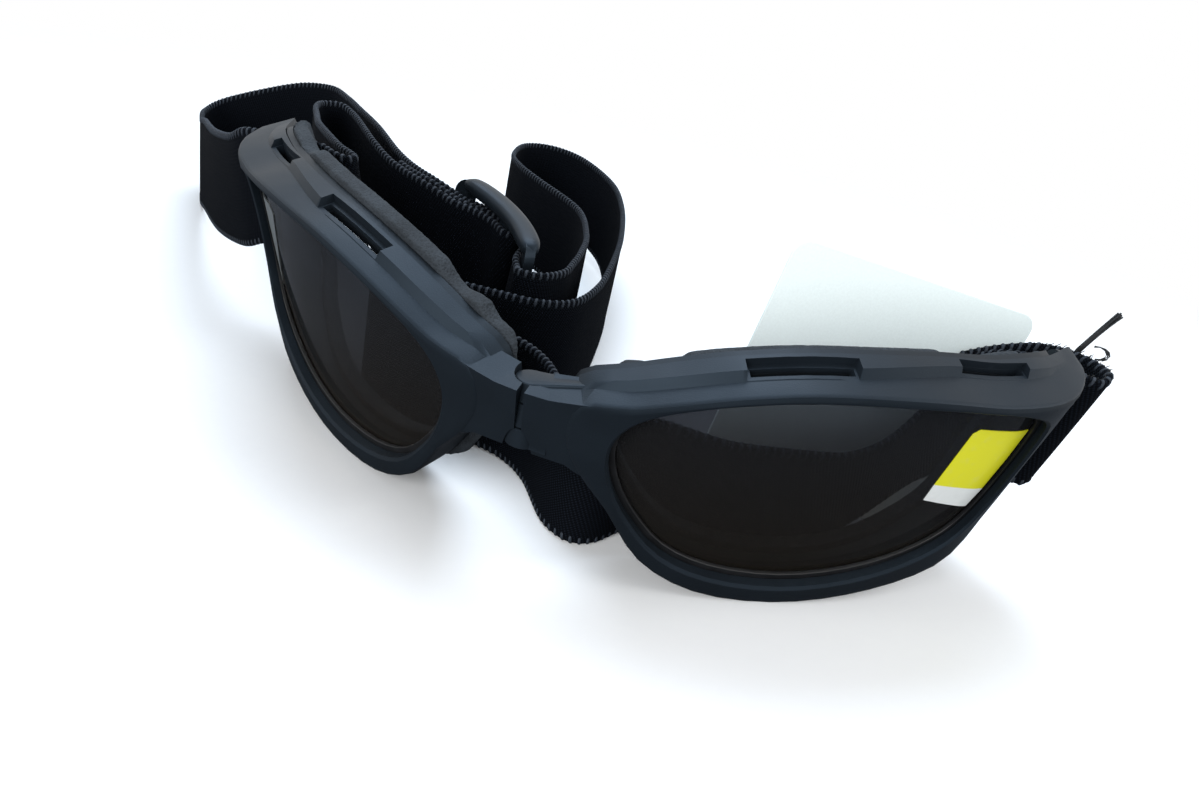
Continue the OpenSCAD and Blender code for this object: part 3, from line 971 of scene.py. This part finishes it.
OUT_OF_SLIDER = ((-91, 120, 19.4), (-52, 88.6, 19.4))
STRETCHES = (
    Stretch("back", (Body.RIGHT, Body.LEFT), (30, 30, 12), (-18.5, 30, 12)),
    Stretch("entry", (Body.LEFT, Body.SLIDER), (-19.6, 73.6, 19.4), (-25.1, 69.0, 19.4)),
    Stretch("exit", (Body.LEFT, Body.SLIDER), *OUT_OF_SLIDER),
    Stretch("side", (Body.LEFT,)),
    Stretch("end", (Body.LEFT, Body.SLIDER), *OUT_OF_SLIDER),
)


@dataclass
class Strap:
    """Elastic webbing with whipped edges, a stitched end and frayed yarns."""

    route: StrapRoute = field(default_factory=StrapRoute)
    spacing: float = 0.8
    face_half: float = 0.56
    face_steps: int = 9
    crown: float = 0.05
    edge_round: float = 0.46
    edge_gap: float = 0.12
    edge_angles: tuple[float, ...] = (60, 20, -20, -60)
    cap_angle: float = 75.0
    whip_pitch: float = 1.42
    whip_reach: float = 1.45
    whip_half_w: float = 0.3
    whip_half_h: float = 0.15
    whip_slant: float = 0.24
    whip_inset: float = 0.14
    whip_lean: float = 0.05
    whip_swell: float = 0.06
    whip_seed: int = 11
    sewn_spacing: float = 0.5
    stitch_rows: tuple[float, ...] = (5.0, 8.0, 11.0)
    stitch_count: int = 9
    stitch_pitch: float = 2.5
    stitch_steps: tuple[float, ...] = (-0.95, -0.5, 0, 0.5, 0.95)
    stitch_r: float = 0.17
    stitch_rise: float = 0.06
    stitch_sink: float = 0.1
    stitch_slant: float = 0.12
    cut_yarns: int = 26
    cut_half: float = 11.5
    cut_r: float = 0.12
    edge_yarns: int = 46
    edge_from: int = 24
    edge_half: float = 12.1
    edge_r: float = 0.09
    tail_yarns: int = 9
    tail_root: Point = (76.4, 60.2, 44.6)
    tail_tip: Point = (80.6, 62.0, 53.6)
    tail_length: float = 10.0
    tail_r: float = 0.28
    curls: int = 3
    curl_root: Point = (78.9, 58.2, 44.8)
    curl_r: float = 0.16
    yarn_rings: int = 7
    yarn_seed: int = 5
    sides: int = 6

    def section(self) -> np.ndarray:
        """Draws the webbing's section.

        Returns:
            Its corners, across and through.
        """
        half = self.route.width / 2 - self.edge_gap
        face = np.linspace(-half + self.edge_round, half - self.edge_round, self.face_steps)
        crown = self.face_half + self.crown * (1 - (face / half) ** 2)
        right = [(half - self.edge_round + self.edge_round * math.cos(a), self.face_half * math.sin(a))
                 for a in np.radians(self.edge_angles)]
        left = [(-x, -y) for x, y in right]
        return np.array(list(zip(face, crown)) + right + list(zip(face[::-1], -crown[::-1])) + left)

    def webbing(self) -> Iterator[Piece]:
        """Makes the woven ribbon itself.

        Yields:
            Each stretch of it.
        """
        f = self.route.sections(self.spacing)
        section = self.section()
        points = (f.centre[:, None, :] + section[None, :, :1] * f.across[:, None, :]
                  + section[None, :, 1:] * f.through[:, None, :])
        for stretch, (first, last) in zip(STRETCHES, pairwise(f.seams)):
            corners = points[first:last + 1].reshape(-1, 3)
            faces = tube_faces(last + 1 - first, len(section))
            piece = mesh_piece(f"strap_webbing_{stretch.name}", corners, faces, STRAP_KNIT)
            piece.data.set_sharp_from_angle(angle=math.radians(self.cap_angle))
            index = np.zeros(len(piece.data.loops), int)
            piece.data.loops.foreach_get("vertex_index", index)
            ring, corner = np.divmod(index, len(section))
            flat = np.stack([f.at[first + ring], section[corner, 0]], axis=1)
            piece.data.uv_layers.new(name=WEAVE).data.foreach_set("uv", flat.reshape(-1) / WEAVE_MM)
            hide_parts("strap")
            stretch.carry(piece)
            yield piece

    def whipping(self) -> Iterator[Piece]:
        """Makes the thread ribs that wrap both edges.

        Yields:
            Each stretch of them.
        """
        f = self.route.sections(self.whip_pitch)
        rng = np.random.default_rng(self.whip_seed)
        half = self.route.width / 2 - self.whip_inset
        skin = self.face_half - 0.02
        # A rib's path round the edge, across and through: its upper half, and then the whole.
        over = [(half - self.whip_reach, skin - 0.12), (half - self.whip_reach * 0.6, skin + 0.03),
                (half - 0.42, skin), (half - 0.02, skin * 0.55)]
        path = np.array([*over, (half + 0.04, 0.0), *((x, -y) for x, y in reversed(over))])
        way = unit(np.gradient(path, axis=0))
        out = np.stack([-way[:, 1], way[:, 0]], axis=1)
        turn = np.arange(self.sides) * 2 * math.pi / self.sides
        slant = np.linspace(-self.whip_slant, self.whip_slant, len(path))
        shift = slant[:, None] + self.whip_half_w * np.cos(turn)[None, :]
        flat_a = path[:, None, 0] + out[:, None, 0] * self.whip_half_h * np.sin(turn)[None, :]
        flat_b = path[:, None, 1] + out[:, None, 1] * self.whip_half_h * np.sin(turn)[None, :]
        blocks = []
        for side in (1, -1):
            lean = rng.normal(0, self.whip_lean, (len(f.at), 1, 1, 1))
            swell = 1 + rng.normal(0, self.whip_swell, (len(f.at), 1, 1, 1))
            blocks.append(f.centre[:, None, None, :]
                          + side * flat_a[None, :, :, None] * f.across[:, None, None, :]
                          + flat_b[None, :, :, None] * f.through[:, None, None, :]
                          + (shift[None, :, :, None] * swell + lean) * f.along[:, None, None, :])
        size = len(path) * self.sides
        ends = [*f.seams[:-1], len(f.at)]  # the last stretch has the last rib too
        for stretch, (first, last) in zip(STRETCHES, pairwise(ends)):
            points = np.concatenate([block[first:last] for block in blocks]).reshape(-1, 3)
            faces = [face for start in range(0, len(points), size)
                     for face in tube_faces(len(path), self.sides, start)]
            piece = mesh_piece(f"strap_whipping_{stretch.name}", points, faces, EDGE_THREAD)
            stretch.carry(piece)
            yield piece

    def stitches(self) -> Piece:
        """Makes the rows of stitches that hold the sewn end.

        Returns:
            The finished piece.
        """
        f = self.route.sections(self.sewn_spacing)
        strands = []
        for distance in self.stitch_rows:
            i = int(distance / self.sewn_spacing)
            for k in range(self.stitch_count):
                across = (k - (self.stitch_count - 1) / 2) * self.stitch_pitch
                for face in (1, -1):
                    base = f.centre[i] + face * (self.face_half + self.stitch_rise) * f.through[i]
                    path = [base + (across + d) * f.across[i] + self.stitch_slant * d * f.along[i]
                            - abs(d) * self.stitch_sink * face * f.through[i] for d in self.stitch_steps]
                    strands.append(strand(path, self.stitch_r, self.sides))
        return self.threads("strap_stitches", strands, SEAM_THREAD)

    def threads(self, name: str, strands: list[np.ndarray], finish: Thread) -> Piece:
        """Joins equal strands at the sewn end into one piece.

        Args:
            name: The piece's name.
            strands: Corners of each strand.
            finish: What they are made of.

        Returns:
            The finished piece.
        """
        size = len(strands[0])
        faces = [face for k in range(len(strands))
                 for face in tube_faces(size // self.sides, self.sides, k * size)]
        piece = mesh_piece(name, np.concatenate(strands), faces, finish)
        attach(piece, Body.RIGHT.value)
        return piece

    def yarn(self, root: np.ndarray, way: np.ndarray, sag: np.ndarray, length: float,
             radius: float) -> np.ndarray:
        """Corners of one loose yarn, which leaves its root along way and bends towards sag."""
        t = np.linspace(0, 1, self.yarn_rings)[:, None]
        return strand(root + way * length * t + sag * length * t ** 2, radius, self.sides)

    def frayed_yarns(self) -> Piece:
        """Makes the yarns that fray from the cut end and its edge, and the loose thread tail.

        Returns:
            The finished piece.
        """
        f = self.route.sections(self.sewn_spacing)
        rng = random.Random(self.yarn_seed)
        yarns = []
        for k in range(self.cut_yarns):
            across = -self.cut_half + 2 * self.cut_half * k / (self.cut_yarns - 1)
            root = f.centre[0] + across * f.across[0] + rng.uniform(-0.35, 0.35) * f.through[0]
            way = -f.along[0] + rng.uniform(-0.25, 0.25) * f.across[0]
            sag = rng.uniform(-0.3, 0.3) * f.through[0]
            yarns.append(self.yarn(root, way, sag, rng.uniform(0.5, 1.5), self.cut_r))
        for i in range(self.edge_from, self.edge_from + self.edge_yarns):
            root = f.centre[i] + self.edge_half * f.across[i]
            root = root + rng.uniform(-0.5, 0.5) * f.through[i]
            way = f.across[i] * rng.uniform(0.4, 1.0) + f.along[i] * rng.uniform(-0.9, 0.9)
            sag = f.through[i] * rng.uniform(-0.7, 0.7)
            yarns.append(self.yarn(root, way, sag, rng.uniform(0.5, 1.3), self.edge_r))
        tail = (np.array(self.tail_tip) - self.tail_root) / self.tail_length
        for _ in range(self.tail_yarns):
            spread = np.array([rng.uniform(-0.32, 0.32) for _ in range(3)])
            tip = np.array([rng.uniform(-0.5, 0.5), rng.uniform(-0.4, 0.4), rng.uniform(-0.9, 0.3)])
            yarns.append(self.yarn(self.tail_root + 0.8 * spread, tail,
                                   np.array([-0.02, 0, -0.14]) + 0.06 * tip, self.tail_length,
                                   self.tail_r))
        for k in range(self.curls):
            turn = np.linspace(0.2 * k, 3.6 + 0.2 * k, self.yarn_rings)
            curl = np.stack([1.5 * np.sin(turn) + 0.25 * k, 0.3 * turn, 0.9 - 1.0 * np.cos(turn)], axis=1)
            yarns.append(strand(self.curl_root + curl, self.curl_r, self.sides))
        return self.threads("strap_frayed_yarns", yarns, YARN)

    def build(self) -> Iterator[Piece]:
        """Makes every piece of the strap.

        Yields:
            Each finished piece.
        """
        yield from self.webbing()
        yield from self.whipping()
        yield self.stitches()
        yield self.frayed_yarns()


@dataclass
class CarriedNode:
    """A CAD node whose shape stays, with the finish of the real piece."""

    node: str
    finish: object

    def build(self) -> Piece:
        """Gives the node its finish.

        Returns:
            The node's own object.
        """
        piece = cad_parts[self.node]
        finish = self.finish.material()
        materials = piece.data.materials
        if not materials:
            materials.append(finish)
        for index in range(len(materials)):
            materials[index] = finish
        return piece


@dataclass
class HingeLug:
    """Drop shaped lug that caps the hinge and runs out along the bridge."""

    wide_end: Point = (0.0, 4.3, 34.22)
    thin_end: Point = (9.4, 5.1, 36.1)
    wide_r: float = 2.5
    thin_r: float = 0.7
    depth: float = 1.5
    edge: float = 0.35
    rounding: tuple[tuple[float, float], ...] = ((0.0, 1.0), (0.1, 0.5), (0.4, 0.15), (1.0, 0.0))
    rise: float = 1.3
    steps: int = 40

    def ring(self, shrink: float, drop: float) -> np.ndarray:
        """Draws the lug's outline once.

        Args:
            shrink: How far it is pulled in.
            drop: How far it is lowered.

        Returns:
            Its corners.
        """
        a, b = np.array(self.wide_end), np.array(self.thin_end)
        reach = b - a
        heading = math.atan2(reach[1], reach[0])
        open_by = math.acos((self.wide_r - self.thin_r) / math.hypot(reach[0], reach[1]))
        half = self.steps // 2
        arcs = ((a, self.wide_r, np.linspace(heading + open_by, heading + 2 * math.pi - open_by, half)),
                (b, self.thin_r, np.linspace(heading - open_by, heading + open_by, half)))
        rim = np.array([(c[0] + (r - shrink) * math.cos(t), c[1] + (r - shrink) * math.sin(t))
                        for c, r, arc in arcs for t in arc])
        share = ((rim - a[:2]) @ reach[:2]) / (reach[:2] @ reach[:2])
        return np.column_stack([rim, a[2] + np.clip(share, 0, 1) ** self.rise * reach[2] - drop])

    def build(self) -> Piece:
        """Makes the lug.

        Returns:
            The finished piece.
        """
        rings = [self.ring(0.0, self.depth),
                 *(self.ring(shrink * self.edge, drop * self.edge) for shrink, drop in self.rounding)]
        piece = mesh_piece("hinge_lug", np.concatenate(rings), tube_faces(len(rings), self.steps),
                           FRAME_POLYMER)
        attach(piece, Body.RIGHT.value)
        return piece


@dataclass
class SliderRails:
    """Rounded rails along the slider's bow, above and below the strap."""

    route: StrapRoute = field(default_factory=StrapRoute)
    half_length: float = 17.2
    middle: float = 14.9
    half_height: float = 1.8
    half_depth: float = 2.5
    tip: float = 0.08
    bend: float = 2.2
    bend_from: float = 0.82
    square: float = 0.75
    rings: int = 41
    sides: int = 16

    def ring(self, share: float, side: int) -> np.ndarray:
        """Draws one ring of a rail.

        Args:
            share: Place along the rail, from -1 to 1.
            side: 1 for the upper rail, -1 for the lower one.

        Returns:
            Its corners.
        """
        along = share * self.half_length
        x, y, z, *across = self.route.through_slider(along, 0.0)
        out = np.array(self.route.through_slider(along, 1.0)[:3]) - (x, y, z)
        slim = self.tip + (1 - self.tip) * (1 - abs(share) ** 8) ** 0.5
        past = max(0.0, abs(share) - self.bend_from)
        bow = self.middle - self.bend * past ** 2 / (1 - self.bend_from)
        turn = np.arange(self.sides) * 2 * math.pi / self.sides
        c, s = (np.sign(v) * np.abs(v) ** self.square for v in (np.cos(turn), np.sin(turn)))
        return (np.array([x, y, z]) + side * bow * np.array(across)
                + self.half_height * slim * s[:, None] * np.array(across)
                + self.half_depth * slim * c[:, None] * out)

    def build(self) -> Piece:
        """Makes both rails as one piece.

        Returns:
            The finished piece.
        """
        shares = [2 * k / (self.rings - 1) - 1 for k in range(self.rings)]
        corners = np.concatenate([self.ring(share, side) for side in (1, -1) for share in shares])
        faces = [face for first in (0, self.rings * self.sides)
                 for face in tube_faces(self.rings, self.sides, first)]
        piece = mesh_piece("slider_rails", corners, faces, SLIDER_POLYMER)
        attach(piece, Body.SLIDER.value)
        return piece


@dataclass
class Goggles:
    """Both halves, the hinge, the slider, the labels and the strap."""

    halves: tuple[tuple[str, Body, float], ...] = (("right", Body.RIGHT, 2.6), ("left", Body.LEFT, 0.5))

    def half(self, side: str, body: Body, sunk: float) -> Iterator[Piece]:
        """Makes the pieces of one half.

        Args:
            side: Name of the side in the nodes' names.
            body: The body that the half is.
            sunk: How far the foam's top is sunk.

        Yields:
            Each finished piece.
        """
        yield Moulding(f"frame_{side}", f"rim_{side}", body, "frame", FRAME_POLYMER).build()
        yield Moulding(f"lens_seal_{side}", f"gasket_{side}", body, "gasket", GASKET_RUBBER, 0.15).build()
        yield Moulding(f"foam_carrier_{side}", f"carrier_{side}", body, "carrier", CARRIER_POLYMER,
                       0.15).build()
        yield FoamSeal(f"foam_pad_{side}", f"face_foam_{side}", body, sunk).build()
        yield CarriedNode(f"lens_{side}", LENS_TINT).build()

    def build(self) -> Iterator[Piece]:
        """Makes every piece.

        Yields:
            Each finished piece.
        """
        for side, body, sunk in self.halves:
            yield from self.half(side, body, sunk)
        yield CarriedNode("hinge_pin", PIN_STEEL).build()
        yield CarriedNode("lens_sticker_right", YELLOW_FILM).build()
        yield CarriedNode("lens_sticker_left", SILVER_FILM).build()
        tag = Moulding("hang_tag", "card_tag", Body.RIGHT, "card", TAG_CARD, 0.1).build()
        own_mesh(tag)
        yield tag
        yield Moulding("strap_slider", "three_bar_slider", Body.SLIDER, "slider", SLIDER_POLYMER,
                       0.4, segments=3).build()
        yield SliderRails().build()
        yield HingeLug().build()
        yield from Strap().build()


@dataclass(frozen=True)
class Softbox:
    """Square lamp with a soft, even light."""

    name: str
    place: Point
    aim: Point
    size: float
    watts: float
    colour: Colour = (255, 255, 255)

    def build(self) -> bpy.types.Object:
        """Makes the lamp.

        Returns:
            The lamp.
        """
        data = bpy.data.lights.new(self.name, "AREA")
        data.size = self.size * MM
        data.energy = self.watts
        data.color = linear(self.colour)[:3]
        lamp = bpy.data.objects.new(self.name, data)
        lamp.location = Vector(self.place) * MM
        lamp.rotation_euler = (Vector(self.aim) - Vector(self.place)).to_track_quat("-Z", "Y").to_euler()
        bpy.context.scene.collection.objects.link(lamp)
        return lamp


@dataclass
class Studio:
    """Pale floor, soft lamps, white surroundings and the camera."""

    eye: Point = (33.22, -97.22, 85.01)
    right: Point = (0.92595, 0.31695, 0.2053)
    up: Point = (-0.32016, 0.37057, 0.87188)
    lens: float = 25.80
    sensor: float = 36.0
    near: float = 5.0
    floor_size: float = 1200.0
    middle: Point = (-30, 60, 0)
    fade: tuple[float, float] = (190, 420)
    paper_dark: Colour = (248, 249, 250)
    paper_light: Colour = (251, 252, 252)
    bounce: Colour = (96, 98, 102)
    fill: float = 0.42
    fill_colour: Colour = (246, 250, 255)
    lamps: tuple[Softbox, ...] = (
        Softbox("key_softbox", (-120, 220, 520), (0, 50, 20), 420, 3.3, (226, 240, 255)),
        Softbox("side_softbox", (420, 60, 300), (20, 40, 20), 300, 0.9),
        Softbox("front_softbox", (-60, -420, 180), (0, 30, 20), 340, 2.6),
    )

    def camera(self) -> bpy.types.Object:
        """Makes the camera at the photograph's viewing angle.

        Returns:
            The camera.
        """
        data = bpy.data.cameras.new("camera")
        data.lens = self.lens
        data.sensor_width = self.sensor
        data.sensor_fit = "HORIZONTAL"
        data.clip_start = self.near * MM
        camera = bpy.data.objects.new("camera", data)
        right, up = Vector(self.right).normalized(), Vector(self.up).normalized()
        turn = Matrix((right, up, right.cross(up).normalized())).transposed().to_4x4()
        camera.matrix_world = Matrix.Translation(Vector(self.eye) * MM) @ turn
        bpy.context.scene.collection.objects.link(camera)
        bpy.context.scene.camera = camera
        return camera

    def paper(self) -> bpy.types.Material:
        """Makes the floor's material, white where it is seen, plainer to other rays, and fading out.

        Returns:
            The material.
        """
        shader = Shader("floor_paper")
        at = shader.place()
        grain = shader.speckle(at, 2.0, 4.0)
        plain = shader.add("ShaderNodeBsdfDiffuse", {"Color": linear(self.bounce)}).outputs[0]
        seen = shader.add("ShaderNodeLightPath").outputs["Is Camera Ray"]
        face = shader.add("ShaderNodeMixShader", {0: seen, 1: plain, 2: shader.surface.outputs[0]})
        away = shader.add("ShaderNodeVectorMath", {0: at, 1: self.middle}, operation="DISTANCE")
        fade = shader.between(away.outputs["Value"], *self.fade)
        clear = shader.add("ShaderNodeBsdfTransparent").outputs[0]
        out = shader.add("ShaderNodeMixShader", {0: fade, 1: face.outputs[0], 2: clear})
        shader.put(shader.tree.nodes["Material Output"], "Surface", out.outputs[0])
        return shader.finish({
            "Base Color": shader.mix(grain, self.paper_dark, self.paper_light),
            "Roughness": 0.9,
            "Specular IOR Level": 0.1,
        })

    def floor(self) -> bpy.types.Object:
        """Makes the pale floor.

        Returns:
            The floor.
        """
        h = self.floor_size / 2 * MM
        mesh = bpy.data.meshes.new("floor")
        mesh.from_pydata([(-h, -h, 0), (h, -h, 0), (h, h, 0), (-h, h, 0)], [], [(0, 1, 2, 3)])
        mesh.materials.append(self.paper())
        floor = bpy.data.objects.new("floor", mesh)
        bpy.context.scene.collection.objects.link(floor)
        return floor

    def surroundings(self) -> None:
        """Makes the world: white where it is seen, and a soft even fill elsewhere."""
        world = bpy.context.scene.world = bpy.data.worlds.new("surroundings")
        nodes = Nodes(world, "Background")
        nodes.put(nodes.surface, "Color", (1, 1, 1, 1))
        nodes.put(nodes.surface, "Strength", 1.0)
        fill = nodes.add("ShaderNodeBackground", {"Color": linear(self.fill_colour), "Strength": self.fill})
        path = nodes.add("ShaderNodeLightPath").outputs
        seen = path["Is Camera Ray"]
        for ray in ("Is Glossy Ray", "Is Transmission Ray"):
            seen = nodes.math("MAXIMUM", seen, path[ray])
        mix = nodes.add("ShaderNodeMixShader", {0: seen, 1: fill.outputs[0], 2: nodes.surface.outputs[0]})
        nodes.put(nodes.tree.nodes["World Output"], "Surface", mix.outputs[0])

    def build(self) -> None:
        """Makes the whole studio."""
        self.camera()
        self.floor()
        self.surroundings()
        for lamp in self.lamps:
            lamp.build()
        bpy.context.scene.view_settings.view_transform = "Standard"


def main() -> None:
    """Builds the studio and the goggles."""
    logging.basicConfig(level=logging.INFO, format="%(relativeCreated)d ms: %(message)s")
    Studio().build()
    for piece in Goggles().build():
        LOG.info("%s: %d faces", piece.name, len(piece.data.polygons))


if __name__ == "__main__":
    main()
